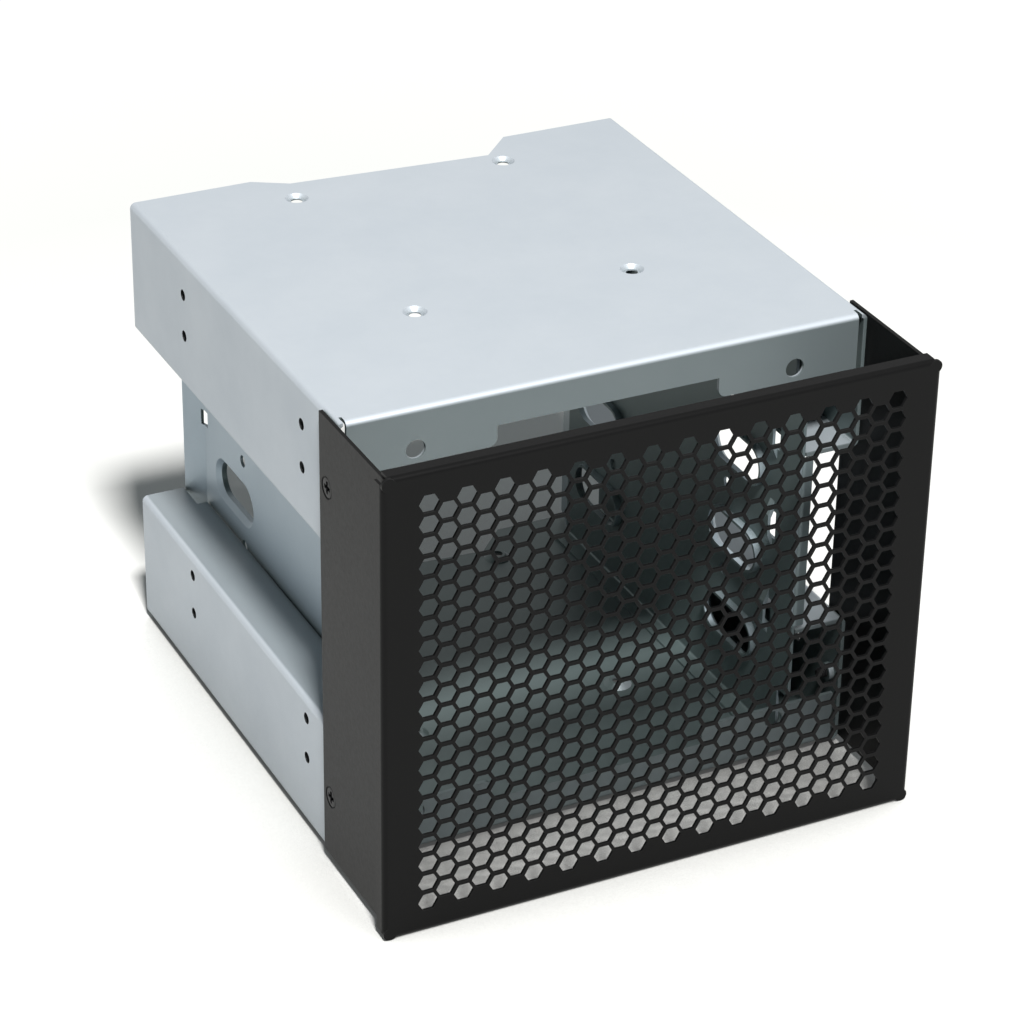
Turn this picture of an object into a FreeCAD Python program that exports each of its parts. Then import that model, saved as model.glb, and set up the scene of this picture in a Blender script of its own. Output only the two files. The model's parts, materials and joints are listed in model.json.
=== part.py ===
"""Drive cage for three 5.25 inch bays: two folded shells, two pressed drive walls and a black
perforated nose held by four countersunk screws.

Millimetres. X runs across the cage, Y from the nose (front, low Y) to the open rear, Z up.
The origin is the centre of the bounding box's underside, under the nose's lower edge.
"""
import FreeCAD
import Part
import math
import os

V = FreeCAD.Vector

# ---- driving dimensions: the cage ----
CAGE_WIDTH = 146.0          # over the two side sheets, the width of a 5.25 inch device
CAGE_HEIGHT = 127.5         # three bays
CAGE_DEPTH = 139.5          # fan flange to rear edge
SHELL_SHEET = 1.0
BEND_RADIUS = 0.6           # inside every fold
SHELL_SIDE_HEIGHT = 37.8    # short side of each shell, before it folds in as a ledge
LEDGE_GAP = 0.4             # between a ledge's free edge and the drive wall

# screw holes of a 5.25 inch device: two rows a bay, threaded for the bay's M3 screws
BAY_HOLE_RADIUS = 1.5
BAY_HOLE_SPACING = 79.25
BAY_ROW_GAP = 11.9
BAY_ROWS_APART = 84.67      # two bays
BAY_FIRST_HOLE = 22.0       # behind the fan flange
BAY_TOP_ROW = 10.5          # below the cage's top

# fan flange, folded from the top plate and from the floor
FAN_FLANGE_HEIGHT = 15.0
FAN_FLANGE_SHORT = 2.4      # each end stops short of the side sheet
FAN_RELIEF_DEPTH = 3.0
FAN_HOLE_SPACING = 105.0    # 120 mm fan
FAN_HOLE_RADIUS = 2.6
FAN_CUT_WIDTH = 61.4
FAN_CUT_START = 9.5         # below the top plate
FAN_CUT_CORNER = 2.2

# rear notch in the top plate and in the floor, for the drives' plugs
NOTCH_MOUTH_HALF = 38.2
NOTCH_HALF = 28.8
NOTCH_DEPTH_LEFT = 5.4
NOTCH_DEPTH_RIGHT = 9.8

# dimpled holes for a 2.5 inch drive
DRIVE25_SPACING_X = 61.72
DRIVE25_SPACING_Y = 76.6
DRIVE25_REAR_HOLE = 15.0    # in front of the rear edge
DIMPLE_RADIUS = 3.2
DIMPLE_HOLE_RADIUS = 1.6
DIMPLE_DEPTH = 1.6
DIMPLE_WALL = 0.7

# ---- drive walls ----
WALL_SHEET = 0.8
DRIVE_SPACE_WIDTH = 112.8   # between the two drive walls
WALL_FOOT_WIDTH = 5.0       # folded in, welded to the top plate and the floor
WALL_FOOT_FRONT = 8.5       # behind the wall's front edge
WALL_FOOT_REAR = 11.0       # in front of the wall's rear edge
FLARE_LENGTH = 9.5          # lead-in at the open rear
FLARE_OUT = 3.0
NOSE_FOLD_WIDTH = 2.6       # stiffening fold on the front edge, between the ledges
NOSE_FOLD_CLEAR = 1.2       # from each ledge
CORNER_NOTCH_DEPTH = 5.5    # room for the fan's screws
CORNER_NOTCH_HEIGHT = 17.0

DRIVE_ROW_PITCH = 26.4
DRIVE_ROWS = 4
OVAL_LENGTH = 25.0
OVAL_HEIGHT = 10.5
OVAL_RIM_HEIGHT = 2.0       # rolled into the drive space
OVAL_RIM_ROLL = 1.3
OVAL_SPACING = 78.4
PIN_HOLE_RADIUS = 1.75
PIN_HOLE_SPACING = 64.8
LANCE_BACK = 13.5           # centre of the bridges, behind the wall's front edge
LANCE_STRIP = 2.1
LANCE_SLIT = 1.2
LANCE_OPENING_HEIGHT = 8.0
LANCE_HEIGHT = 14.0
LANCE_RISE = 1.6
CLIP_SLOT_WIDTH = 3.6       # one at mid-height
CLIP_SLOT_HEIGHT = 4.6
CLIP_SLOT_REAR = 9.8        # its centre, in front of the wall's rear edge

# ---- nose: perforated front and its two side brackets ----
NOSE_DEPTH = 31.5           # front face to fan flange, room for a 25 mm fan
FRONT_WIDTH = 151.0
FRONT_HEIGHT = 130.0
FRONT_SHEET = 0.8
FRONT_LIP = 4.5
FRONT_CORNER = 1.8
FRONT_BELOW_CAGE = 1.5
HEX_PITCH = 5.63
HEX_ACROSS_FLATS = 4.7
HEX_COLUMNS = 27
HEX_ROWS = 21               # in the odd columns, one fewer in the even ones
BRACKET_SHEET = 1.0
BRACKET_REACH = 39.4        # behind the perforated front
BRACKET_RETURN = 7.5
BRACKET_LOW_GAP = 1.2       # above the cage's underside
BRACKET_TOP_GAP = 0.2

# ---- countersunk screws, M3 x 6 ----
SCREW_RADIUS = 1.5
SCREW_HEAD_RADIUS = 3.0
SCREW_LENGTH = 6.0
SCREW_CLEARANCE = 0.05
SCREW_REAR_EDGE = 4.2       # from the bracket's rear edge
SCREW_SPACING = 89.2
SCREW_FROM_BOTTOM = 19.1
RECESS_WIDTH = 0.9
RECESS_LENGTH = 3.4
RECESS_DEPTH = 1.1
COLLAR_WALL = 0.9
COLLAR_LENGTH = 1.5

# ---- derived places ----
FRONT_Y = -(NOSE_DEPTH + CAGE_DEPTH) / 2
CAGE_Y = FRONT_Y + NOSE_DEPTH
REAR_Y = CAGE_Y + CAGE_DEPTH
CAGE_Z = FRONT_BELOW_CAGE
TOP_Z = CAGE_Z + CAGE_HEIGHT
MID_Z = CAGE_Z + CAGE_HEIGHT / 2
SIDE_X = CAGE_WIDTH / 2
WALL_IN_X = DRIVE_SPACE_WIDTH / 2
WALL_OUT_X = WALL_IN_X + WALL_SHEET
OUTER_BEND = BEND_RADIUS + SHELL_SHEET
FLARE_Y = REAR_Y - FLARE_LENGTH
UPPER_LEDGE_Z = TOP_Z - SHELL_SIDE_HEIGHT
LOWER_LEDGE_Z = CAGE_Z + SHELL_SIDE_HEIGHT


# ---- sheet-metal helpers ----
def box(x, y, z):
    """A box from three (low, high) pairs."""
    return Part.makeBox(x[1] - x[0], y[1] - y[0], z[1] - z[0], V(x[0], y[0], z[0]))


def unit(a, b):
    length = math.hypot(b[0] - a[0], b[1] - a[1])
    return ((b[0] - a[0]) / length, (b[1] - a[1]) / length)


def offset_line(points, distance):
    """The open line moved to its left by distance, with mitred corners."""
    ways = [unit(a, b) for a, b in zip(points, points[1:])]
    normals = [(-w[1], w[0]) for w in ways]
    moved = []
    for i, point in enumerate(points):
        before = normals[max(i - 1, 0)]
        after = normals[min(i, len(normals) - 1)]
        share = distance / (1 + before[0] * after[0] + before[1] * after[1])
        moved.append((point[0] + (before[0] + after[0]) * share,
                      point[1] + (before[1] + after[1]) * share))
    return moved


def rounded_edges(points, radii, place):
    """Edges along a line, its inner corners rounded to radii. place turns (a, b) into a vector."""
    edges = []
    start = points[0]
    for before, corner, after, radius in zip(points, points[1:], points[2:], radii):
        way_in = unit(before, corner)
        way_out = unit(corner, after)
        turn = math.acos(max(-1, min(1, way_in[0] * way_out[0] + way_in[1] * way_out[1])))
        cut = radius * math.tan(turn / 2)
        arc_start = (corner[0] - way_in[0] * cut, corner[1] - way_in[1] * cut)
        arc_end = (corner[0] + way_out[0] * cut, corner[1] + way_out[1] * cut)
        to_middle = unit(corner, ((arc_start[0] + arc_end[0]) / 2, (arc_start[1] + arc_end[1]) / 2))
        depth = radius / math.cos(turn / 2) - radius
        middle = (corner[0] + to_middle[0] * depth, corner[1] + to_middle[1] * depth)
        edges.append(Part.LineSegment(place(start), place(arc_start)).toShape())
        edges.append(Part.Arc(place(arc_start), place(middle), place(arc_end)).toShape())
        start = arc_end
    edges.append(Part.LineSegment(place(start), place(points[-1])).toShape())
    return edges


def folded_sheet(face_line, thickness, material_left, place, along):
    """A folded sheet: its section follows face_line with the material on one side, then runs along."""
    side = 1 if material_left else -1
    other_line = offset_line(face_line, side * thickness)
    face_radii = []
    other_radii = []
    for a, b, c in zip(face_line, face_line[1:], face_line[2:]):
        into = unit(a, b)
        out = unit(b, c)
        turns_left = into[0] * out[1] - into[1] * out[0] > 0
        face_outside = turns_left == material_left
        face_radii.append(BEND_RADIUS + (thickness if face_outside else 0))
        other_radii.append(BEND_RADIUS + (0 if face_outside else thickness))
    edges = rounded_edges(face_line, face_radii, place)
    back = rounded_edges(other_line, other_radii, place)
    ends = [Part.LineSegment(place(face_line[0]), place(other_line[0])).toShape(),
            Part.LineSegment(place(face_line[-1]), place(other_line[-1])).toShape()]
    wire = Part.Wire(Part.__sortEdges__(edges + ends + back))
    return Part.Face(wire).extrude(along)


def stadium(length, height, centre, depth, x_start):
    """A slot-shaped prism along X: length in Y, height in Z."""
    radius = height / 2
    reach = length / 2 - radius
    low, high = centre[1] - radius, centre[1] + radius
    left, right = centre[0] - reach, centre[0] + reach
    corner = [V(x_start, left, low), V(x_start, right, low), V(x_start, right, high), V(x_start, left, high)]
    wire = Part.Wire([
        Part.LineSegment(corner[0], corner[1]).toShape(),
        Part.Arc(corner[1], V(x_start, right + radius, centre[1]), corner[2]).toShape(),
        Part.LineSegment(corner[2], corner[3]).toShape(),
        Part.Arc(corner[3], V(x_start, left - radius, centre[1]), corner[0]).toShape()])
    return Part.Face(wire).extrude(V(depth, 0, 0))


def mirrored_x(shape):
    return shape.mirror(V(0, 0, 0), V(1, 0, 0))


def only_solid(shape):
    """The one solid of a finished piece, its split faces joined."""
    clean = shape.removeSplitter()
    assert len(clean.Solids) == 1, len(clean.Solids)
    solid = clean.Solids[0]
    assert solid.isValid()
    return solid


# ---- shells ----
def dimple(x, y):
    """Tools for one dimpled screw hole in the top plate: (pressed metal, opening)."""
    under = TOP_Z - SHELL_SHEET
    bottom = TOP_Z - DIMPLE_DEPTH - DIMPLE_WALL
    pressed = Part.makeCone(DIMPLE_HOLE_RADIUS + DIMPLE_WALL, DIMPLE_RADIUS + DIMPLE_WALL,
                            under - bottom, V(x, y, bottom))
    opening = Part.makeCone(DIMPLE_HOLE_RADIUS, DIMPLE_RADIUS, DIMPLE_DEPTH, V(x, y, TOP_Z - DIMPLE_DEPTH))
    through = Part.makeCylinder(DIMPLE_HOLE_RADIUS, DIMPLE_WALL, V(x, y, bottom))
    return pressed, opening.fuse(through)


def fan_flange():
    """The fold down at the front of the top plate, with its fan holes and its wide cut-out."""
    half = SIDE_X - FAN_FLANGE_SHORT
    low = TOP_Z - FAN_FLANGE_HEIGHT
    line = [(CAGE_Y + FAN_RELIEF_DEPTH, TOP_Z), (CAGE_Y, TOP_Z), (CAGE_Y, low)]
    fold = folded_sheet(line, SHELL_SHEET, True, lambda p: V(-half, p[0], p[1]), V(2 * half, 0, 0))
    cut_half = FAN_CUT_WIDTH / 2
    cut_top = TOP_Z - FAN_CUT_START
    outline = [(0, TOP_Z), (half, TOP_Z), (half, low), (cut_half, low), (cut_half, cut_top), (0, cut_top)]
    corner = [0.01, 0.01, FAN_CUT_CORNER, 0.01]
    right = rounded_edges(outline, corner, lambda p: V(p[0], CAGE_Y - 1, p[1]))
    right.append(Part.LineSegment(V(0, CAGE_Y - 1, cut_top), V(0, CAGE_Y - 1, TOP_Z)).toShape())
    front_view = Part.Face(Part.Wire(right)).extrude(V(0, FAN_RELIEF_DEPTH + 2, 0))
    flange = fold.common(front_view.fuse(mirrored_x(front_view)))
    hole_z = MID_Z + FAN_HOLE_SPACING / 2
    for x in (-FAN_HOLE_SPACING / 2, FAN_HOLE_SPACING / 2):
        flange = flange.cut(Part.makeCylinder(FAN_HOLE_RADIUS, 3, V(x, CAGE_Y - 1, hole_z), V(0, 1, 0)))
    return flange


def screw_places():
    """Height of the two nose screws on each side, and their Y."""
    y = FRONT_Y + FRONT_SHEET + BRACKET_REACH - SCREW_REAR_EDGE
    low = CAGE_Z + SCREW_FROM_BOTTOM
    return y, (low, low + SCREW_SPACING)


def plain_shell():
    """Top plate, two short sides, two ledges turned in, and the fan flange, from one sheet."""
    ledge_x = WALL_OUT_X + LEDGE_GAP
    line = [(-ledge_x, UPPER_LEDGE_Z), (-SIDE_X, UPPER_LEDGE_Z), (-SIDE_X, TOP_Z),
            (SIDE_X, TOP_Z), (SIDE_X, UPPER_LEDGE_Z), (ledge_x, UPPER_LEDGE_Z)]
    shell = folded_sheet(line, SHELL_SHEET, False, lambda p: V(p[0], CAGE_Y, p[1]), V(0, CAGE_DEPTH, 0))

    # the front strip of the top plate gives way to the fan flange and its two corner reliefs
    relief_x = SIDE_X - OUTER_BEND
    shell = shell.cut(box((-relief_x, relief_x), (CAGE_Y - 1, CAGE_Y + FAN_RELIEF_DEPTH),
                          (TOP_Z - OUTER_BEND, TOP_Z + 1)))
    shell = shell.fuse(fan_flange())

    notch = Part.makePolygon([V(-NOTCH_MOUTH_HALF, REAR_Y, 0), V(-NOTCH_HALF, REAR_Y - NOTCH_DEPTH_LEFT, 0),
                              V(NOTCH_HALF, REAR_Y - NOTCH_DEPTH_RIGHT, 0), V(NOTCH_MOUTH_HALF, REAR_Y, 0),
                              V(0, REAR_Y + 20, 0), V(-NOTCH_MOUTH_HALF, REAR_Y, 0)])
    notch.translate(V(0, 0, TOP_Z - SHELL_SHEET - 1))
    cuts = [Part.Face(notch).extrude(V(0, 0, SHELL_SHEET + 2))]

    # the ledges stand back from the drive walls' lead-in
    flare_x = WALL_OUT_X + FLARE_OUT + LEDGE_GAP
    for x in ((-flare_x, -ledge_x + 1), (ledge_x - 1, flare_x)):
        cuts.append(box(x, (FLARE_Y - 1, REAR_Y + 1), (UPPER_LEDGE_Z - 1, UPPER_LEDGE_Z + 2)))

    for y in (REAR_Y - DRIVE25_REAR_HOLE, REAR_Y - DRIVE25_REAR_HOLE - DRIVE25_SPACING_Y):
        for x in (-DRIVE25_SPACING_X / 2, DRIVE25_SPACING_X / 2):
            pressed, opening = dimple(x, y)
            shell = shell.fuse(pressed)
            cuts.append(opening)
    return shell.cut(cuts)


def screw_seat(side, z):
    """Collar and countersunk threaded hole for one nose screw: (collar, hole)."""
    y = screw_places()[0]
    hole_radius = SCREW_RADIUS + SCREW_CLEARANCE
    under_head = SCREW_HEAD_RADIUS + SCREW_CLEARANCE - BRACKET_SHEET
    sink = under_head - hole_radius
    inward = V(-side, 0, 0)
    collar = Part.makeCylinder(hole_radius + COLLAR_WALL, COLLAR_LENGTH,
                               V(side * (SIDE_X - SHELL_SHEET), y, z), inward)
    cone = Part.makeCone(under_head, hole_radius, sink, V(side * SIDE_X, y, z), inward)
    bore = Part.makeCylinder(hole_radius, SHELL_SHEET + COLLAR_LENGTH + 1, V(side * SIDE_X, y, z), inward)
    return collar, cone.fuse(bore)


def bay_holes(top_row):
    """Both rows of bay screw holes through both sides of one shell, from its upper row's height."""
    holes = []
    for z in (top_row, top_row - BAY_ROW_GAP):
        for y in (CAGE_Y + BAY_FIRST_HOLE, CAGE_Y + BAY_FIRST_HOLE + BAY_HOLE_SPACING):
            for side in (-1, 1):
                start = V(side * (SIDE_X - SHELL_SHEET - 1), y, z)
                holes.append(Part.makeCylinder(BAY_HOLE_RADIUS, SHELL_SHEET + 2, start, V(side, 0, 0)))
    return holes


def shells():
    """The upper shell and the lower one: mirror images but for the bay holes, which are two bays apart."""
    upper = plain_shell()
    lower = upper.mirror(V(0, 0, MID_Z), V(0, 0, 1))
    low_screw, high_screw = screw_places()[1]
    top_row = TOP_Z - BAY_TOP_ROW
    finished = []
    for shell, screw_z, row in ((upper, high_screw, top_row), (lower, low_screw, top_row - BAY_ROWS_APART)):
        for side in (-1, 1):
            collar, hole = screw_seat(side, screw_z)
            shell = shell.fuse(collar).cut(hole)
        finished.append(only_solid(shell.cut(bay_holes(row))))
    return finished


# ---- drive walls ----
def wall_web(x_out_front, z):
    """The upright web between two heights: straight, then flared at the rear. It is the right wall."""
    line = [(WALL_IN_X, CAGE_Y), (WALL_IN_X, FLARE_Y), (WALL_IN_X + FLARE_OUT, REAR_Y)]
    if x_out_front:
        line.insert(0, (WALL_IN_X + NOSE_FOLD_WIDTH + WALL_SHEET, CAGE_Y))
    return folded_sheet(line, WALL_SHEET, False, lambda p: V(p[0], p[1], z[0]), V(0, 0, z[1] - z[0]))


def wall_foot(z, up):
    """The fold along the wall's lower or upper edge that lies on the floor or under the top plate."""
    height = 2 * BEND_RADIUS + WALL_SHEET
    line = [(WALL_OUT_X - WALL_FOOT_WIDTH - WALL_SHEET, z), (WALL_OUT_X, z), (WALL_OUT_X, z + up * height)]
    start = CAGE_Y + WALL_FOOT_FRONT
    length = CAGE_DEPTH - WALL_FOOT_FRONT - WALL_FOOT_REAR
    return folded_sheet(line, WALL_SHEET, up > 0, lambda p: V(p[0], start, p[1]), V(0, length, 0))


def oval_places():
    mid_y = CAGE_Y + CAGE_DEPTH / 2
    low_z = MID_Z - DRIVE_ROW_PITCH * (DRIVE_ROWS - 1) / 2
    return [(mid_y + side * OVAL_SPACING / 2, low_z + row * DRIVE_ROW_PITCH)
            for side in (-1, 1) for row in range(DRIVE_ROWS)]


def lance(z):
    """One bridge lance: (opening in the web, raised strip)."""
    y = CAGE_Y + LANCE_BACK
    half_open = LANCE_STRIP / 2 + LANCE_SLIT
    opening = box((WALL_IN_X - 1, WALL_OUT_X + 1), (y - half_open, y + half_open),
                  (z - LANCE_OPENING_HEIGHT / 2, z + LANCE_OPENING_HEIGHT / 2))
    flat = LANCE_OPENING_HEIGHT / 2 - 1
    foot = LANCE_HEIGHT / 2
    outline = [(WALL_IN_X, -foot), (WALL_IN_X - LANCE_RISE, -flat), (WALL_IN_X - LANCE_RISE, flat),
               (WALL_IN_X, foot), (WALL_OUT_X, foot - 1), (WALL_OUT_X - LANCE_RISE, flat - 1),
               (WALL_OUT_X - LANCE_RISE, 1 - flat), (WALL_OUT_X, 1 - foot), (WALL_IN_X, -foot)]
    wire = Part.makePolygon([V(a, y - LANCE_STRIP / 2, z + b) for a, b in outline])
    return opening, Part.Face(wire).extrude(V(0, LANCE_STRIP, 0))


def right_drive_wall():
    """One drive wall: web, feet, flared rear edge, rolled ovals, bridges, pin holes and a clip slot."""
    floor = CAGE_Z + SHELL_SHEET
    ceiling = TOP_Z - SHELL_SHEET
    foot_height = 2 * BEND_RADIUS + WALL_SHEET
    fold_low = LOWER_LEDGE_Z + NOSE_FOLD_CLEAR
    fold_high = UPPER_LEDGE_Z - NOSE_FOLD_CLEAR
    wall = wall_web(True, (fold_low, fold_high))
    for z in ((floor + foot_height, fold_low), (fold_high, ceiling - foot_height)):
        wall = wall.fuse(wall_web(False, z))
    wall = wall.fuse([wall_foot(floor, 1), wall_foot(ceiling, -1)])

    notch_x = (WALL_IN_X - 1, WALL_OUT_X + 1)
    notch_y = (CAGE_Y - 1, CAGE_Y + CORNER_NOTCH_DEPTH)
    cuts = [box(notch_x, notch_y, (CAGE_Z, CAGE_Z + CORNER_NOTCH_HEIGHT)),
            box(notch_x, notch_y, (TOP_Z - CORNER_NOTCH_HEIGHT, TOP_Z))]

    between_rows = [MID_Z + k * DRIVE_ROW_PITCH for k in range(1 - DRIVE_ROWS // 2, DRIVE_ROWS // 2)]
    for z in between_rows:
        opening, strip = lance(z)
        wall = wall.cut(opening).fuse(strip)
        for side in (-1, 1):
            y = CAGE_Y + CAGE_DEPTH / 2 + side * PIN_HOLE_SPACING / 2
            cuts.append(Part.makeCylinder(PIN_HOLE_RADIUS, WALL_SHEET + 2, V(WALL_IN_X - 1, y, z), V(1, 0, 0)))

    slot_y = REAR_Y - CLIP_SLOT_REAR
    cuts.append(box((WALL_IN_X - 1, WALL_OUT_X + FLARE_OUT),
                    (slot_y - CLIP_SLOT_WIDTH / 2, slot_y + CLIP_SLOT_WIDTH / 2),
                    (MID_Z - CLIP_SLOT_HEIGHT / 2, MID_Z + CLIP_SLOT_HEIGHT / 2)))

    rims = []
    for centre in oval_places():
        around = 2 * WALL_SHEET
        rims.append(stadium(OVAL_LENGTH + around, OVAL_HEIGHT + around, centre, OVAL_RIM_HEIGHT,
                            WALL_IN_X - OVAL_RIM_HEIGHT))
        cuts.append(rolled_opening(centre))
    return only_solid(wall.fuse(rims).cut(cuts))


def rolled_opening(centre):
    """An oval opening with its edge rolled in: a straight throat and a wider mouth outside."""
    throat = stadium(OVAL_LENGTH, OVAL_HEIGHT, centre, WALL_SHEET + OVAL_RIM_HEIGHT + 2,
                     WALL_IN_X - OVAL_RIM_HEIGHT - 1)
    inner = stadium_wire(OVAL_LENGTH, OVAL_HEIGHT, centre, WALL_OUT_X - OVAL_RIM_ROLL)
    mouth = stadium_wire(OVAL_LENGTH + 2 * OVAL_RIM_ROLL, OVAL_HEIGHT + 2 * OVAL_RIM_ROLL, centre, WALL_OUT_X)
    return throat.fuse(Part.makeLoft([inner, mouth], True, True))


def stadium_wire(length, height, centre, x):
    return stadium(length, height, centre, 1, x).Faces[-2].OuterWire


# ---- nose ----
def hexagon(x, z, y):
    """A hexagon with its points left and right."""
    radius = HEX_ACROSS_FLATS / math.sqrt(3)
    corners = [V(x + radius * math.cos(math.radians(60 * k)), y, z + radius * math.sin(math.radians(60 * k)))
               for k in range(6)]
    return Part.makePolygon(corners + corners[:1])


def hexagon_field():
    """The punch for the front: every other column is half a pitch lower and one hexagon shorter."""
    column_step = HEX_PITCH * math.sqrt(3) / 2
    through = V(0, FRONT_SHEET + 2, 0)
    punches = []
    for column in range(HEX_COLUMNS):
        x = (column - (HEX_COLUMNS - 1) / 2) * column_step
        rows = HEX_ROWS - column % 2
        for row in range(rows):
            z = FRONT_HEIGHT / 2 + (row - (rows - 1) / 2) * HEX_PITCH
            punches.append(Part.Face(hexagon(x, z, FRONT_Y - 1)).extrude(through))
    return Part.makeCompound(punches)


def perforated_front():
    """A shallow folded tray, open at its corners, with the hexagon field in its face."""
    half = FRONT_WIDTH / 2
    lip_y = FRONT_Y + FRONT_LIP
    across = folded_sheet([(-half, lip_y), (-half, FRONT_Y), (half, FRONT_Y), (half, lip_y)], FRONT_SHEET,
                          True, lambda p: V(p[0], p[1], FRONT_CORNER), V(0, 0, FRONT_HEIGHT - 2 * FRONT_CORNER))
    upright = folded_sheet([(lip_y, 0), (FRONT_Y, 0), (FRONT_Y, FRONT_HEIGHT), (lip_y, FRONT_HEIGHT)],
                           FRONT_SHEET, False, lambda p: V(FRONT_CORNER - half, p[0], p[1]),
                           V(FRONT_WIDTH - 2 * FRONT_CORNER, 0, 0))
    tray = across.fuse(upright)
    for x in (FRONT_CORNER - half, half - FRONT_CORNER):
        for z in (FRONT_CORNER, FRONT_HEIGHT - FRONT_CORNER):
            tray = tray.fuse(Part.makeCylinder(FRONT_CORNER, FRONT_SHEET, V(x, FRONT_Y, z), V(0, 1, 0)))
    punched = only_solid(tray).cut(hexagon_field())
    assert len(punched.Solids) == 1
    return punched.Solids[0]


def right_bracket():
    """Side bracket: welded behind the front by its return, screwed to the cage by its rear edge."""
    y = FRONT_Y + FRONT_SHEET
    out_x = SIDE_X + BRACKET_SHEET
    low = CAGE_Z + BRACKET_LOW_GAP
    height = CAGE_HEIGHT - BRACKET_LOW_GAP - BRACKET_TOP_GAP
    line = [(out_x - BRACKET_RETURN, y), (out_x, y), (out_x, y + BRACKET_REACH)]
    bracket = folded_sheet(line, BRACKET_SHEET, True, lambda p: V(p[0], p[1], low), V(0, 0, height))
    screw_y, heights = screw_places()
    wide = SCREW_HEAD_RADIUS + SCREW_CLEARANCE
    for z in heights:
        bracket = bracket.cut(Part.makeCone(wide, wide - BRACKET_SHEET, BRACKET_SHEET,
                                            V(out_x, screw_y, z), V(-1, 0, 0)))
    return only_solid(bracket)


def screw(side, z):
    """One countersunk screw with its cross recess."""
    y = screw_places()[0]
    head_x = side * (SIDE_X + BRACKET_SHEET)
    inward = V(-side, 0, 0)
    head_depth = SCREW_HEAD_RADIUS - SCREW_RADIUS
    head = Part.makeCone(SCREW_HEAD_RADIUS, SCREW_RADIUS, head_depth, V(head_x, y, z), inward)
    shank = Part.makeCylinder(SCREW_RADIUS, SCREW_LENGTH, V(head_x, y, z), inward)
    body = head.fuse(shank)
    recess_x = sorted((head_x - side * RECESS_DEPTH, head_x + side))
    thin = RECESS_WIDTH / 2
    long = RECESS_LENGTH / 2
    cross = box(recess_x, (y - thin, y + thin), (z - long, z + long))
    cross = cross.fuse(box(recess_x, (y - long, y + long), (z - thin, z + thin)))
    return only_solid(body.cut(cross))


# ---- write one STEP file per node ----
upper, lower = shells()
right_wall = right_drive_wall()
bracket = right_bracket()
screws = [screw(side, z) for side in (-1, 1) for z in screw_places()[1]]
nodes = {
    "upper_shell": upper,
    "lower_shell": lower,
    "drive_wall_left": mirrored_x(right_wall),
    "drive_wall_right": right_wall,
    "perforated_front": perforated_front(),
    "side_bracket_left": mirrored_x(bracket),
    "side_bracket_right": bracket,
    "nose_screws": Part.makeCompound(screws),
}
os.makedirs("parts", exist_ok=True)
for name, shape in nodes.items():
    shape.exportStep("parts/" + name + ".step")
    size = shape.BoundBox
    print(name, len(shape.Solids), "solids, volume", round(shape.Volume),
          [round(v, 2) for v in (size.XMin, size.XMax, size.YMin, size.YMax, size.ZMin, size.ZMax)])
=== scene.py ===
# A folded steel drive cage for three 5.25 inch bays, with a black honeycomb nose.
# Metres throughout. The nose faces -Y, the open rear +Y, and Z is up.
import json
import math

import bmesh
import bpy
from mathutils import Euler, Matrix, Vector


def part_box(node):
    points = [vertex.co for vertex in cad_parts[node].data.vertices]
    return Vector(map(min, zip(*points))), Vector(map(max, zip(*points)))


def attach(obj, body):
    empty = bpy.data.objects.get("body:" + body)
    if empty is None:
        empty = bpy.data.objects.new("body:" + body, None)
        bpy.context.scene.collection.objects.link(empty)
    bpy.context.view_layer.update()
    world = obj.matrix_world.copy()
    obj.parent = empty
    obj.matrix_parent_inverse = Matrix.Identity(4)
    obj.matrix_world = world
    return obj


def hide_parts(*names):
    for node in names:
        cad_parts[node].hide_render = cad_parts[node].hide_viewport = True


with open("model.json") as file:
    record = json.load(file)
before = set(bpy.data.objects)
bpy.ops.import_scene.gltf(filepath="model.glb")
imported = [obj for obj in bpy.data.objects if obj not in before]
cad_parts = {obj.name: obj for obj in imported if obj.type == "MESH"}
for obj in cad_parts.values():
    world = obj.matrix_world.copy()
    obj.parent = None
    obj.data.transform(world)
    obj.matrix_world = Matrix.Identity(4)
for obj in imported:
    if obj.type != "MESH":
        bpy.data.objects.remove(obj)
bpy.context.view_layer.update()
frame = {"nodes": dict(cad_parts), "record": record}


# ---- Upper and lower shells ----
# Each shell is one galvanised sheet, folded into a plate, two short sides, ledges and a fan flange.
# The zinc is satin and faintly mottled, with a fine grain along the roll, and has shade painted in on inward
# faces, corners, holes, seams, the fan flange and the bay screw bores.
ZINC_COLOUR = (0.60, 0.645, 0.69, 1.0)
ZINC_DARK = (0.50, 0.55, 0.60, 1.0)
# painted shade: the colour that inward faces, corners, holes, seams and the fan flange darken towards
ZINC_PAINTED_SHADE = (0.115, 0.15, 0.15, 1.0)
# painted shade, nearly black, in the bores of the bay screw holes
BORE_PAINTED_SHADE = (0.012, 0.014, 0.015, 1.0)
ZINC_METALLIC = 0.38
ZINC_ROUGHNESS = (0.38, 0.54)
ZINC_MOTTLE_SCALE = 38.0
GRAIN_SCALE = 2600.0
GRAIN_STRETCH = (1.0, 0.03, 1.0)    # drawn out along Y, the roll
GRAIN_HEIGHT = 0.00002
GRAIN_STRENGTH = 0.25
INNER_FACE_DEPTH = 0.055        # faces at least this far from the middle take the full painted shade
GAP_REACH = 0.06
GAP_SHARE = 0.4                 # of the painted shade colour, in wide corners
PIT_REACH = 0.004               # small holes and seams, which take all of the painted shade colour
FLANGE_SHARE = 0.8              # of the painted shade colour, painted on the fan flange
FLANGE_BEND = 0.0007            # below the top the fold is left bright, and the painted shade fades in over as much again
FLANGE_DEPTH = 0.0005           # half the sheet, from the flange's front face
SIDE_SHEET_INSIDE = 0.0715      # the side sheets lie further out than this
BORE_REACH = 0.00156            # from a bay hole's axis, just past its edge
DIMPLE_RIM = 0.0025             # reach of the pressed rim round each drive hole
DIMPLE_TOOL_DEPTH = 0.0016      # of the cone in the solid
DIMPLE_DEPTH = 0.00095          # of the cone as pressed
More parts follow.
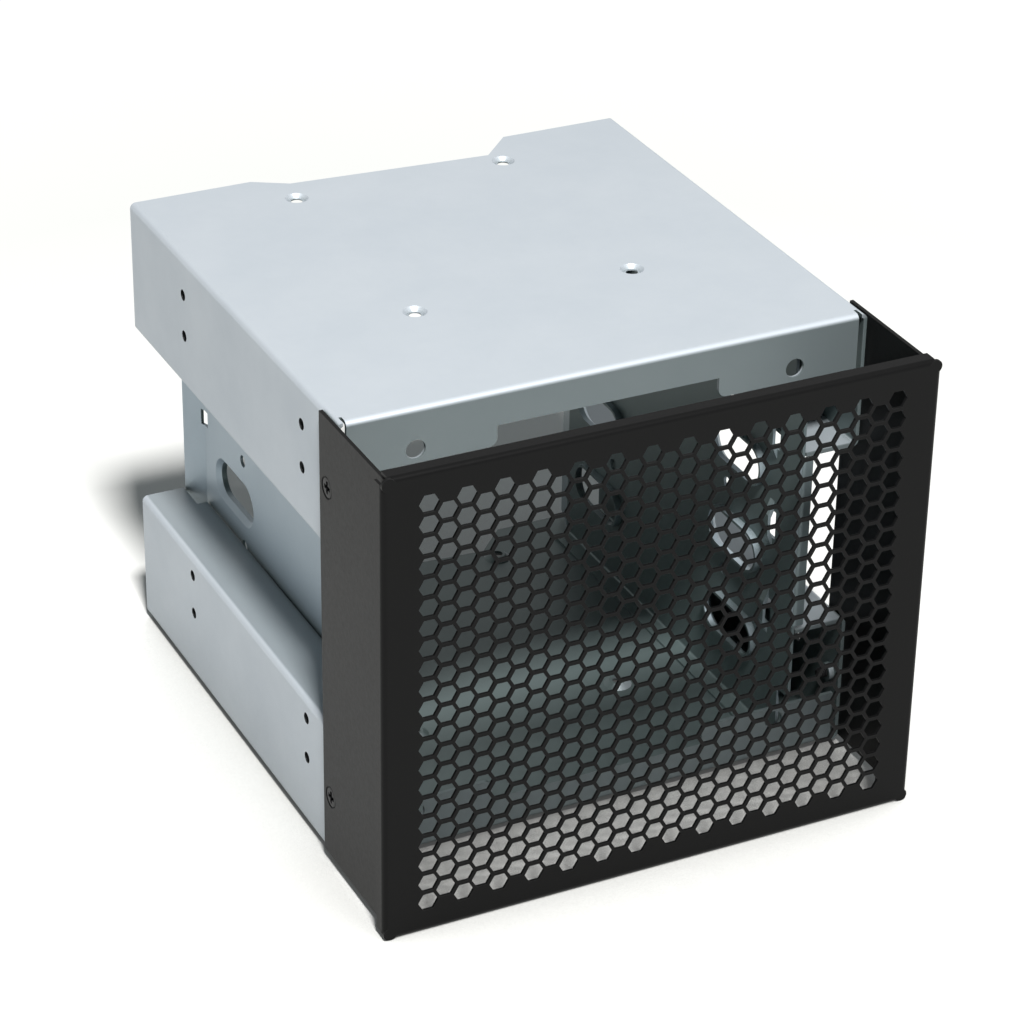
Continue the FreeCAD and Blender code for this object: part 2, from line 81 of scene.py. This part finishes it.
DIMPLE_EDGE_SHARE = 0.45
DIMPLE_END = (DIMPLE_TOOL_DEPTH - 1e-4, DIMPLE_TOOL_DEPTH + 1e-3)    # depths of the cone's lower end
SHELL_MERGE = 1e-6
SHELL_CREASE = 30               # degrees
MASK_SAMPLES = 4
MM_PER_METRE = 1000
shell_lowest, shell_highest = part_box("upper_shell")
cage_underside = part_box("lower_shell")[0][2]
cage_middle = (0.0, (shell_lowest[1] + shell_highest[1]) / 2, (cage_underside + shell_highest[2]) / 2)


def make_material(name):
    """A new material with its Principled shader: (material, node tree, shader)."""
    material = bpy.data.materials.new(name)
    material.use_nodes = True
    tree = material.node_tree
    return material, tree, tree.nodes["Principled BSDF"]


def new_group(name, inputs, outputs):
    """An empty node group with named sockets: (group, input node, output node)."""
    group = bpy.data.node_groups.new(name, "ShaderNodeTree")
    for socket_name, kind, value in inputs:
        socket = group.interface.new_socket(socket_name, in_out="INPUT", socket_type=kind)
        socket.default_value = value
    for socket_name, kind in outputs:
        group.interface.new_socket(socket_name, in_out="OUTPUT", socket_type=kind)
    return group, group.nodes.new("NodeGroupInput"), group.nodes.new("NodeGroupOutput")


def place_group(tree, group, **values):
    """Puts a node group in a material with its own values. Names use _ for a space."""
    node = tree.nodes.new("ShaderNodeGroup")
    node.node_tree = group
    for name, value in values.items():
        node.inputs[name.replace("_", " ")].default_value = value
    return node


def add_math(tree, operation, first, second):
    """A Math node of two inputs, each a socket or a number. Returns its output."""
    node = tree.nodes.new("ShaderNodeMath")
    node.operation = operation
    for slot, value in enumerate((first, second)):
        if isinstance(value, (int, float)):
            node.inputs[slot].default_value = value
        else:
            tree.links.new(value, node.inputs[slot])
    return node.outputs[0]


def add_vector_math(tree, operation, first, second):
    """A Vector Math node of two sockets. Returns the node."""
    node = tree.nodes.new("ShaderNodeVectorMath")
    node.operation = operation
    tree.links.new(first, node.inputs[0])
    tree.links.new(second, node.inputs[1])
    return node


def fold_about(tree, value, middle):
    """The distance of a socket's value from a middle."""
    return add_math(tree, "ABSOLUTE", add_math(tree, "SUBTRACT", value, middle), 0.0)


def map_range(tree, value, low, high, start=0.0, end=1.0):
    """Maps start..end to low..high, and holds it there outside."""
    node = tree.nodes.new("ShaderNodeMapRange")
    node.inputs["From Min"].default_value = start
    node.inputs["From Max"].default_value = end
    node.inputs["To Min"].default_value = low
    node.inputs["To Max"].default_value = high
    tree.links.new(value, node.inputs["Value"])
    return node.outputs["Result"]


def mix_colours(tree, factor, first, second):
    """Mixes two colours, each a socket or a value, by a factor socket. Returns the colour."""
    mix = tree.nodes.new("ShaderNodeMix")
    mix.data_type = "RGBA"
    tree.links.new(factor, mix.inputs["Factor"])
    for name, value in (("A", first), ("B", second)):
        socket = [s for s in mix.inputs if s.name == name and s.type == "RGBA"][0]
        if isinstance(value, tuple):
            socket.default_value = value
        else:
            tree.links.new(value, socket)
    return [s for s in mix.outputs if s.type == "RGBA"][0]


def bump(tree, height, distance, strength, shader):
    """Feeds a Bump node into the shader's normal."""
    node = tree.nodes.new("ShaderNodeBump")
    node.inputs["Distance"].default_value = distance
    node.inputs["Strength"].default_value = strength
    tree.links.new(height, node.inputs["Height"])
    tree.links.new(node.outputs["Normal"], shader.inputs["Normal"])


def make_noise(tree, vector, scale, detail, roughness):
    """A noise texture on a vector socket. Returns its factor."""
    noise = tree.nodes.new("ShaderNodeTexNoise")
    noise.inputs["Scale"].default_value = scale
    noise.inputs["Detail"].default_value = detail
    noise.inputs["Roughness"].default_value = roughness
    tree.links.new(vector, noise.inputs["Vector"])
    return noise.outputs["Fac"]


def split_place(group):
    """The object's coordinates, as a node with X, Y and Z outputs."""
    place = group.nodes.new("ShaderNodeTexCoord")
    apart = group.nodes.new("ShaderNodeSeparateXYZ")
    group.links.new(place.outputs["Object"], apart.inputs["Vector"])
    return apart


def sheet_grain_group():
    """Rolling grain and soft mottling of a metal sheet: (Mottle, Grain) from 0 to 1."""
    group, given, result = new_group(
        "sheet grain", [("Mottle Scale", "NodeSocketFloat", 60.0)],
        [("Mottle", "NodeSocketFloat"), ("Grain", "NodeSocketFloat")])
    place = group.nodes.new("ShaderNodeTexCoord")
    mottle = group.nodes.new("ShaderNodeTexNoise")
    mottle.inputs["Detail"].default_value = 5.0
    mottle.inputs["Roughness"].default_value = 0.62
    group.links.new(place.outputs["Object"], mottle.inputs["Vector"])
    group.links.new(given.outputs["Mottle Scale"], mottle.inputs["Scale"])
    drawn = group.nodes.new("ShaderNodeMapping")
    drawn.inputs["Scale"].default_value = GRAIN_STRETCH
    group.links.new(place.outputs["Object"], drawn.inputs["Vector"])
    grain = make_noise(group, drawn.outputs["Vector"], GRAIN_SCALE, 3.0, 0.5)
    group.links.new(mottle.outputs["Fac"], result.inputs["Mottle"])
    group.links.new(grain, result.inputs["Grain"])
    return group


def crevice_group():
    """Corners, holes and narrow gaps, found by ambient occlusion, where shade is painted in."""
    group, given, result = new_group(
        "crevice", [("Reach", "NodeSocketFloat", 0.05), ("Clean Share", "NodeSocketFloat", 0.25),
                    ("Strength", "NodeSocketFloat", 2.0)], [("Mask", "NodeSocketFloat")])
    around = group.nodes.new("ShaderNodeAmbientOcclusion")
    around.samples = MASK_SAMPLES
    group.links.new(given.outputs["Reach"], around.inputs["Distance"])
    hidden = add_math(group, "SUBTRACT", 1.0, around.outputs["AO"])
    hidden = add_math(group, "SUBTRACT", hidden, given.outputs["Clean Share"])
    hidden = add_math(group, "MULTIPLY", hidden, given.outputs["Strength"])
    group.links.new(map_range(group, hidden, 0.0, 1.0), result.inputs["Mask"])
    return group


def inner_face_group():
    """Faces that look towards the cage's middle, where shade is painted in."""
    group, given, result = new_group(
        "inner face", [("Middle", "NodeSocketVector", cage_middle),
                       ("Depth", "NodeSocketFloat", INNER_FACE_DEPTH)], [("Mask", "NodeSocketFloat")])
    place = group.nodes.new("ShaderNodeTexCoord")
    shape = group.nodes.new("ShaderNodeNewGeometry")
    inward = add_vector_math(group, "SUBTRACT", given.outputs["Middle"], place.outputs["Object"])
    along = add_vector_math(group, "DOT_PRODUCT", inward.outputs["Vector"], shape.outputs["Normal"])
    share = add_math(group, "DIVIDE", along.outputs["Value"], given.outputs["Depth"])
    group.links.new(map_range(group, share, 0.0, 1.0), result.inputs["Mask"])
    return group


def fan_flange_group():
    """The fan flange, shut in behind the nose, where shade is painted in below the bright fold of the plate.
    """
    group, given, result = new_group(
        "fan flange", [("Rear Face", "NodeSocketFloat", shell_lowest[1] + FLANGE_DEPTH),
                       ("Below Bend", "NodeSocketFloat", shell_highest[2] - FLANGE_BEND)],
        [("Mask", "NodeSocketFloat")])
    apart = split_place(group)
    ahead = add_math(group, "LESS_THAN", apart.outputs["Y"], given.outputs["Rear Face"])
    below = add_math(group, "SUBTRACT", given.outputs["Below Bend"], apart.outputs["Z"])
    soft = map_range(group, below, 0.0, 1.0, 0.0, FLANGE_BEND)
    group.links.new(add_math(group, "MULTIPLY", ahead, soft), result.inputs["Mask"])
    return group


def half_spacing(mount, axis):
    """Half the distance between a mount's holes along its x or y, in metres."""
    return mount["dims"][f"spacing_{axis}_mm"] / (2 * MM_PER_METRE)


def bay_bore_group():
    """The bores of the bay screw holes in the side sheets, with shade painted in nearly black. Folded to one
    hole.
    """
    rows = [mount for mount in frame["record"]["mounts"] if mount["name"].startswith("left_bay_holes")]
    heights = [row["pos_m"][2] for row in rows]
    middle_z = sum(heights) / len(heights)
    row_step = (max(heights) - min(heights)) / 2
    half_along = half_spacing(rows[0], "x")
    half_apart = half_spacing(rows[0], "y")
    group, given, result = new_group(
        "bay bore", [("Reach", "NodeSocketFloat", BORE_REACH),
                     ("Side", "NodeSocketFloat", SIDE_SHEET_INSIDE)], [("Mask", "NodeSocketFloat")])
    apart = split_place(group)
    along = fold_about(group, fold_about(group, apart.outputs["Y"], rows[0]["pos_m"][1]), half_along)
    above = fold_about(group, fold_about(group, apart.outputs["Z"], middle_z), half_apart)
    above = fold_about(group, above, row_step)
    along = add_math(group, "POWER", along, 2.0)
    above = add_math(group, "POWER", above, 2.0)
    away = add_math(group, "SQRT", add_math(group, "ADD", along, above), 0.0)
    near = add_math(group, "LESS_THAN", away, given.outputs["Reach"])
    aside = fold_about(group, apart.outputs["X"], 0.0)
    outer = add_math(group, "GREATER_THAN", aside, given.outputs["Side"])
    group.links.new(add_math(group, "MULTIPLY", near, outer), result.inputs["Mask"])
    return group


sheet_grain = sheet_grain_group()
crevice = crevice_group()
inner_face = inner_face_group()
fan_flange = fan_flange_group()
bay_bore = bay_bore_group()


def galvanised(name, light, dark, painted_shade):
    """Satin galvanised steel: a mottle of two colours, darkened towards a painted shade colour on inward
    faces, in corners, holes, seams and on the fan flange, and nearly black in the bay screw bores.
    """
    material, tree, shader = make_material(name)
    grain = place_group(tree, sheet_grain, Mottle_Scale=ZINC_MOTTLE_SCALE)
    colour = mix_colours(tree, grain.outputs["Mottle"], light, dark)
    # Painted shade: inward faces, corners, small holes and seams, and the fan flange darken towards the
    # painted shade colour.
    inner_face_shade = place_group(tree, inner_face).outputs["Mask"]
    # painted shade in wide corners, and in full in small holes and seams
    corners = place_group(tree, crevice, Reach=GAP_REACH).outputs["Mask"]
    gaps = add_math(tree, "MULTIPLY", corners, GAP_SHARE)
    pits = place_group(tree, crevice, Reach=PIT_REACH, Clean_Share=0.12, Strength=3.0).outputs["Mask"]
    flange = add_math(tree, "MULTIPLY", place_group(tree, fan_flange).outputs["Mask"], FLANGE_SHARE)
    hidden = add_math(tree, "MAXIMUM", inner_face_shade, gaps)
    # painted shade on the fan flange and in small holes and seams
    pressed = add_math(tree, "MAXIMUM", flange, pits)
    colour_with_painted_shade = mix_colours(tree, add_math(tree, "MAXIMUM", hidden, pressed), colour, painted_shade)
    # painted shade: the bay screw bores nearly black
    bores = place_group(tree, bay_bore).outputs["Mask"]
    tree.links.new(mix_colours(tree, bores, colour_with_painted_shade, BORE_PAINTED_SHADE), shader.inputs["Base Color"])
    shader.inputs["Metallic"].default_value = ZINC_METALLIC
    tree.links.new(map_range(tree, grain.outputs["Mottle"], *ZINC_ROUGHNESS), shader.inputs["Roughness"])
    bump(tree, grain.outputs["Grain"], GRAIN_HEIGHT, GRAIN_STRENGTH, shader)
    return material


def cover(piece, material):
    """Gives an object one material for all its faces."""
    piece.data.materials.clear()
    piece.data.materials.append(material)


def dress(node, material):
    """Gives a CAD node its material in every slot."""
    cover(frame["nodes"][node], material)


def mesh_object(name, built):
    """A new object at the origin from a bmesh."""
    mesh = bpy.data.meshes.new(name)
    built.to_mesh(mesh)
    built.free()
    made = bpy.data.objects.new(name, mesh)
    bpy.context.collection.objects.link(made)
    return made


def apply_modifiers(piece):
    """Puts a piece's modifiers into its mesh."""
    graph = bpy.context.evaluated_depsgraph_get()
    piece.data = bpy.data.meshes.new_from_object(piece.evaluated_get(graph))
    piece.modifiers.clear()


def crease_by_angle(piece, degrees):
    """Smooth shading with sharp edges past an angle, and flat faces kept flat."""
    piece.data.polygons.foreach_set("use_smooth", [True] * len(piece.data.polygons))
    piece.data.set_sharp_from_angle(angle=math.radians(degrees))
    level = piece.modifiers.new("flat faces", "WEIGHTED_NORMAL")
    level.keep_sharp = True
    apply_modifiers(piece)


def drive_hole_centres():
    """Where the four drive holes of the top plate stand, across and along."""
    holes = [mount for mount in frame["record"]["mounts"] if mount["name"] == "top_drive_holes"][0]
    across = half_spacing(holes, "x")
    along = half_spacing(holes, "y")
    middle_x, middle_y = holes["pos_m"][:2]
    return [(middle_x + x, middle_y + y) for x in (-across, across) for y in (-along, along)]


def with_shallow_dimples(name, node):
    """A copy of the upper shell whose four dimples are pressed to a rim just under the sheet."""
    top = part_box(node)[1][2]
    centres = drive_hole_centres()
    plate = bmesh.new()
    plate.from_mesh(frame["nodes"][node].data)
    bmesh.ops.remove_doubles(plate, verts=plate.verts, dist=SHELL_MERGE)
    for vert in plate.verts:
        near = min(math.dist(vert.co.xy, centre) for centre in centres)
        deep = top - vert.co.z
        if near < DIMPLE_RIM and DIMPLE_END[0] < deep < DIMPLE_END[1]:
            vert.co.z = top - DIMPLE_DEPTH - (deep - DIMPLE_TOOL_DEPTH) * DIMPLE_EDGE_SHARE
    shell = mesh_object(name, plate)
    shell.data.attributes.remove(shell.data.attributes["custom_normal"])
    crease_by_angle(shell, SHELL_CREASE)
    return shell


zinc = galvanised("galvanised steel", ZINC_COLOUR, ZINC_DARK, ZINC_PAINTED_SHADE)
shell = with_shallow_dimples("upper_shell_pressed", "upper_shell")
cover(shell, zinc)
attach(shell, "root")
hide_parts("upper_shell")
dress("lower_shell", zinc)


# ---- Drive walls ----
# Two pressed walls stand between the shells, with ovals, bridges and pin holes for the drives.
# They are galvanised sheet too, a little darker and bluer, with the same painted shade, and their feet lie
# against the shells.
WALL_COLOUR = (0.49, 0.57, 0.63, 1.0)
WALL_DARK = (0.42, 0.50, 0.56, 1.0)
# painted shade: the colour that the walls' inward faces, corners, holes and seams darken towards
WALL_PAINTED_SHADE = (0.125, 0.165, 0.165, 1.0)
wall_zinc = galvanised("galvanised wall", WALL_COLOUR, WALL_DARK, WALL_PAINTED_SHADE)
dress("drive_wall_left", wall_zinc)
dress("drive_wall_right", wall_zinc)


# ---- Perforated front and its side brackets ----
# Punched and folded steel, powder coated satin black with a faint orange peel.
# The coat is a little thinner and greyer along the folds and the cut edges.
COAT_COLOUR = (0.0045, 0.0045, 0.0046, 1.0)
COAT_EDGE = (0.02, 0.02, 0.02, 1.0)
COAT_ROUGHNESS = 0.40
COAT_SMOOTHEST = -0.06       # from the middle roughness
COAT_ROUGHEST = 0.08
COAT_SPECULAR = 0.10
PEEL_SCALE = 900.0
PEEL_HEIGHT = 0.00006
PEEL_STRENGTH = 0.35
WEAR_RADIUS = 0.0003
WEAR_CONTRAST = 4.0
WEAR_PATCH_SCALE = 420.0


def worn_edge_group():
    """Where a sheet's corners have been rubbed: a mask where a rounded normal leaves the true one."""
    group, given, result = new_group(
        "worn edge", [("Radius", "NodeSocketFloat", 0.0005), ("Break Up", "NodeSocketFloat", 0.4)],
        [("Mask", "NodeSocketFloat")])
    place = group.nodes.new("ShaderNodeTexCoord")
    shape = group.nodes.new("ShaderNodeNewGeometry")
    rounded = group.nodes.new("ShaderNodeBevel")
    rounded.samples = MASK_SAMPLES
    group.links.new(given.outputs["Radius"], rounded.inputs["Radius"])
    likeness = add_vector_math(group, "DOT_PRODUCT", rounded.outputs["Normal"], shape.outputs["Normal"])
    patches = make_noise(group, place.outputs["Object"], WEAR_PATCH_SCALE, 4.0, 0.6)
    ragged = add_math(group, "MULTIPLY", patches, given.outputs["Break Up"])
    sharp = add_math(group, "SUBTRACT", 1.0, likeness.outputs["Value"])
    sharp = add_math(group, "MULTIPLY", sharp, WEAR_CONTRAST)
    mask = add_math(group, "SUBTRACT", sharp, ragged)
    mask = add_math(group, "MAXIMUM", mask, 0.0)
    mask = add_math(group, "MINIMUM", mask, 1.0)
    group.links.new(mask, result.inputs["Mask"])
    return group


worn_edge = worn_edge_group()


def black_coat(name, colour, edge_colour, roughness):
    """A satin black finish, greyer on worn edges, with a fine orange peel."""
    material, tree, shader = make_material(name)
    grain = place_group(tree, sheet_grain, Mottle_Scale=PEEL_SCALE)
    edge = place_group(tree, worn_edge, Radius=WEAR_RADIUS, Break_Up=0.5)
    tree.links.new(mix_colours(tree, edge.outputs["Mask"], colour, edge_colour), shader.inputs["Base Color"])
    uneven = map_range(tree, grain.outputs["Mottle"], roughness + COAT_SMOOTHEST, roughness + COAT_ROUGHEST)
    tree.links.new(uneven, shader.inputs["Roughness"])
    shader.inputs["Specular IOR Level"].default_value = COAT_SPECULAR
    bump(tree, grain.outputs["Mottle"], PEEL_HEIGHT, PEEL_STRENGTH, shader)
    return material


powder_coat = black_coat("black powder coat", COAT_COLOUR, COAT_EDGE, COAT_ROUGHNESS)
dress("perforated_front", powder_coat)
dress("side_bracket_left", powder_coat)
dress("side_bracket_right", powder_coat)


# ---- Nose screws ----
# Four M3 countersunk screws hold the brackets to the cage: blackened steel with a cross recess.
# Each head sits a little small in its countersink, so a dark ring shows round it.
SCREW_COLOUR = (0.010, 0.010, 0.011, 1.0)
SCREW_EDGE = (0.05, 0.05, 0.05, 1.0)
SCREW_ROUGHNESS = 0.3
HEAD_TOP = 0.00008          # below the bracket's face
HEAD_CROWN = 0.00004        # from the head's middle down to its rounded rim
HEAD_RADIUS = 0.00262
HEAD_ROUNDING = 0.00016
CONE_DEPTH = 0.00138
SHANK_RADIUS = 0.0015
THREAD_ROOT = 0.00123
THREAD_PITCH = 0.0005
THREAD_END = 0.0056
SCREW_LENGTH = 0.006
TIP_SHARE = 0.8             # of the thread's root
RECESS_LENGTH = 0.0036
RECESS_WIDTH = 0.0012
RECESS_DEPTH = 0.0013
RECESS_TAPER = 0.45
SPIN_STEPS = 36
SCREW_MERGE = 1e-7
SCREW_CREASE = 28           # degrees


def screw_outline():
    """Depth and radius of a screw's outline, from the middle of its head to its tip."""
    outline = [(HEAD_TOP, 0.0), (HEAD_TOP + HEAD_CROWN, HEAD_RADIUS - 2 * HEAD_ROUNDING),
               (HEAD_TOP + 0.5 * HEAD_ROUNDING, HEAD_RADIUS - 0.4 * HEAD_ROUNDING),
               (HEAD_TOP + 1.4 * HEAD_ROUNDING, HEAD_RADIUS), (CONE_DEPTH, SHANK_RADIUS)]
    depth = CONE_DEPTH + THREAD_PITCH
    while depth < THREAD_END:
        outline += [(depth, SHANK_RADIUS), (depth + THREAD_PITCH / 2, THREAD_ROOT)]
        depth += THREAD_PITCH
    return outline + [(SCREW_LENGTH, THREAD_ROOT * TIP_SHARE), (SCREW_LENGTH, 0.0)]


def add_screw(body, recess, centre, inward):
    """Spins one screw into a bmesh, and puts the cutter of its cross recess into another."""
    points = []
    for depth, radius in screw_outline():
        points.append(body.verts.new(centre + Vector((inward * depth, 0, radius))))
    edges = [body.edges.new(pair) for pair in zip(points, points[1:])]
    bmesh.ops.spin(body, geom=points + edges, cent=centre, axis=(1, 0, 0), angle=2 * math.pi,
                   steps=SPIN_STEPS, use_merge=True)
    for length, width in ((RECESS_LENGTH, RECESS_WIDTH), (RECESS_WIDTH, RECESS_LENGTH)):
        wing = bmesh.ops.create_cube(recess, size=1.0)["verts"]
        share = (1 + RECESS_TAPER) / 2      # of its outer end, at the head's face
        bmesh.ops.scale(recess, vec=(2 * RECESS_DEPTH, width / share, length / share), verts=wing)
        deep = [vert for vert in wing if vert.co.x * inward > 0]
        bmesh.ops.scale(recess, vec=(1.0, RECESS_TAPER, RECESS_TAPER), verts=deep)
        bmesh.ops.translate(recess, vec=centre, verts=wing)


lowest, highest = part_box("nose_screws")
middle_y = (lowest[1] + highest[1]) / 2
seat_radius = (highest[1] - lowest[1]) / 2
bodies, recesses = bmesh.new(), bmesh.new()
for face_x, inward in ((lowest[0], 1), (highest[0], -1)):
    for height in (lowest[2] + seat_radius, highest[2] - seat_radius):
        add_screw(bodies, recesses, Vector((face_x, middle_y, height)), inward)
bmesh.ops.remove_doubles(bodies, verts=bodies.verts, dist=SCREW_MERGE)
bmesh.ops.recalc_face_normals(bodies, faces=bodies.faces)
screws = mesh_object("countersunk_screws", bodies)
cutter = mesh_object("recess_cutter", recesses)
cut = screws.modifiers.new("cross recess", "BOOLEAN")
cut.operation = "DIFFERENCE"
cut.solver = "EXACT"
cut.use_self = True
cut.object = cutter
apply_modifiers(screws)
bpy.data.objects.remove(cutter)
crease_by_angle(screws, SCREW_CREASE)
cover(screws, black_coat("black oxide", SCREW_COLOUR, SCREW_EDGE, SCREW_ROUGHNESS))
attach(screws, "root")
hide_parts("nose_screws")


# ---- Floor ----
# A matt pale floor, only a stage. It is darker for light that bounces than for the camera, and
# has a shadow painted in where the cage stands close. It glows most far out, where less of the lamp's light
# falls.
FLOOR_SIZE = 12
FLOOR_ROUGHNESS = 0.9
FLOOR_SEEN = (0.85, 0.85, 0.83, 1.0)
FLOOR_BOUNCE = (0.28, 0.29, 0.30, 1.0)
# painted shadow near the cage
FLOOR_PAINTED_SHADOW = (0.26, 0.26, 0.25, 1.0)
SHADE_REACH = 0.12
GLOW = (0.06, 0.9)              # near, and far out
GLOW_DISTANCES = (0.35, 1.3)    # from the middle, where near ends and far out begins


def seen_rays(tree):
    """1 for camera, glossy and transmission rays, 0 for the rest."""
    path = tree.nodes.new("ShaderNodeLightPath")
    seen = add_math(tree, "MAXIMUM", path.outputs["Is Camera Ray"], path.outputs["Is Glossy Ray"])
    return add_math(tree, "MAXIMUM", seen, path.outputs["Is Transmission Ray"])


bpy.ops.mesh.primitive_plane_add(size=FLOOR_SIZE)
floor = bpy.context.object
floor.name = "floor"
floor_material, tree, shader = make_material("pale floor")
# Painted shadow: the floor darkens where the cage stands close.
shade = place_group(tree, crevice, Reach=SHADE_REACH)
seen = seen_rays(tree)
pale = mix_colours(tree, seen, FLOOR_BOUNCE, FLOOR_SEEN)
tree.links.new(mix_colours(tree, shade.outputs["Mask"], pale, FLOOR_PAINTED_SHADOW), shader.inputs["Base Color"])
shader.inputs["Roughness"].default_value = FLOOR_ROUGHNESS
shader.inputs["Specular IOR Level"].default_value = 0.0
glow = tree.nodes.new("ShaderNodeEmission")
place = tree.nodes.new("ShaderNodeTexCoord")
outward = tree.nodes.new("ShaderNodeVectorMath")
outward.operation = "LENGTH"
tree.links.new(place.outputs["Object"], outward.inputs[0])
far_glow = map_range(tree, outward.outputs["Value"], *GLOW, *GLOW_DISTANCES)
tree.links.new(add_math(tree, "MULTIPLY", seen, far_glow), glow.inputs["Strength"])
both = tree.nodes.new("ShaderNodeAddShader")
tree.links.new(shader.outputs["BSDF"], both.inputs[0])
tree.links.new(glow.outputs["Emission"], both.inputs[1])
tree.links.new(both.outputs["Shader"], tree.nodes["Material Output"].inputs["Surface"])
floor.data.materials.append(floor_material)


# ---- Light ----
# A pale room, dim for the cage and bright for what the camera sees past it.
# One small soft box above the nose's left lights the cage and throws its shadow to the rear.
ROOM_STRENGTH = (0.10, 0.62)    # as light, as seen
ROOM_LIGHT = (0.80, 0.96, 1.0, 1.0)
ROOM_SEEN = (1.0, 1.0, 1.0, 1.0)
LAMP_AIM = Vector((0, 0, 0.06))

world = bpy.data.worlds.new("pale room")
world.use_nodes = True
bpy.context.scene.world = world
room = world.node_tree
sky = room.nodes["Background"]
room_seen = seen_rays(room)
room.links.new(map_range(room, room_seen, *ROOM_STRENGTH), sky.inputs["Strength"])
room.links.new(mix_colours(room, room_seen, ROOM_LIGHT, ROOM_SEEN), sky.inputs["Color"])


def soft_box(name, azimuth, elevation, distance, size, power, colour):
    """A square area lamp that faces the cage's middle from a direction in degrees."""
    around, up = math.radians(azimuth), math.radians(elevation)
    away = Vector((math.sin(around) * math.cos(up), -math.cos(around) * math.cos(up), math.sin(up)))
    lamp = bpy.data.lights.new(name, "AREA")
    lamp.shape = "SQUARE"
    lamp.size = size
    lamp.energy = power
    lamp.color = colour
    holder = bpy.data.objects.new(name, lamp)
    holder.location = LAMP_AIM + away * distance
    holder.rotation_euler = (-away).to_track_quat("-Z", "Y").to_euler()
    bpy.context.collection.objects.link(holder)


soft_box("key", azimuth=-16, elevation=58, distance=2.4, size=0.3, power=89.0, colour=(1.0, 0.995, 0.985))


# ---- Camera ----
# From the nose's left and above, through a long lens, with the cage filling most of the view.
# The angles are in degrees: down from level, round to the left, and a slight roll.
LENS = 121.276
SENSOR_WIDTH = 36.0
CAMERA_PLACE = (-0.35660, -0.71858, 0.50940)
CAMERA_DOWN = 29.211
CAMERA_ROUND = -26.419
CAMERA_ROLL = 0.957

camera = bpy.data.cameras.new("camera")
camera.lens = LENS
camera.sensor_width = SENSOR_WIDTH
camera_object = bpy.data.objects.new("camera", camera)
turn = Euler((math.radians(90 - CAMERA_DOWN), 0, math.radians(CAMERA_ROUND))).to_matrix().to_4x4()
turn = turn @ Matrix.Rotation(math.radians(CAMERA_ROLL), 4, "Z")
camera_object.matrix_world = Matrix.Translation(CAMERA_PLACE) @ turn
bpy.context.collection.objects.link(camera_object)
bpy.context.scene.camera = camera_object
bpy.context.scene.view_settings.view_transform = "Standard"
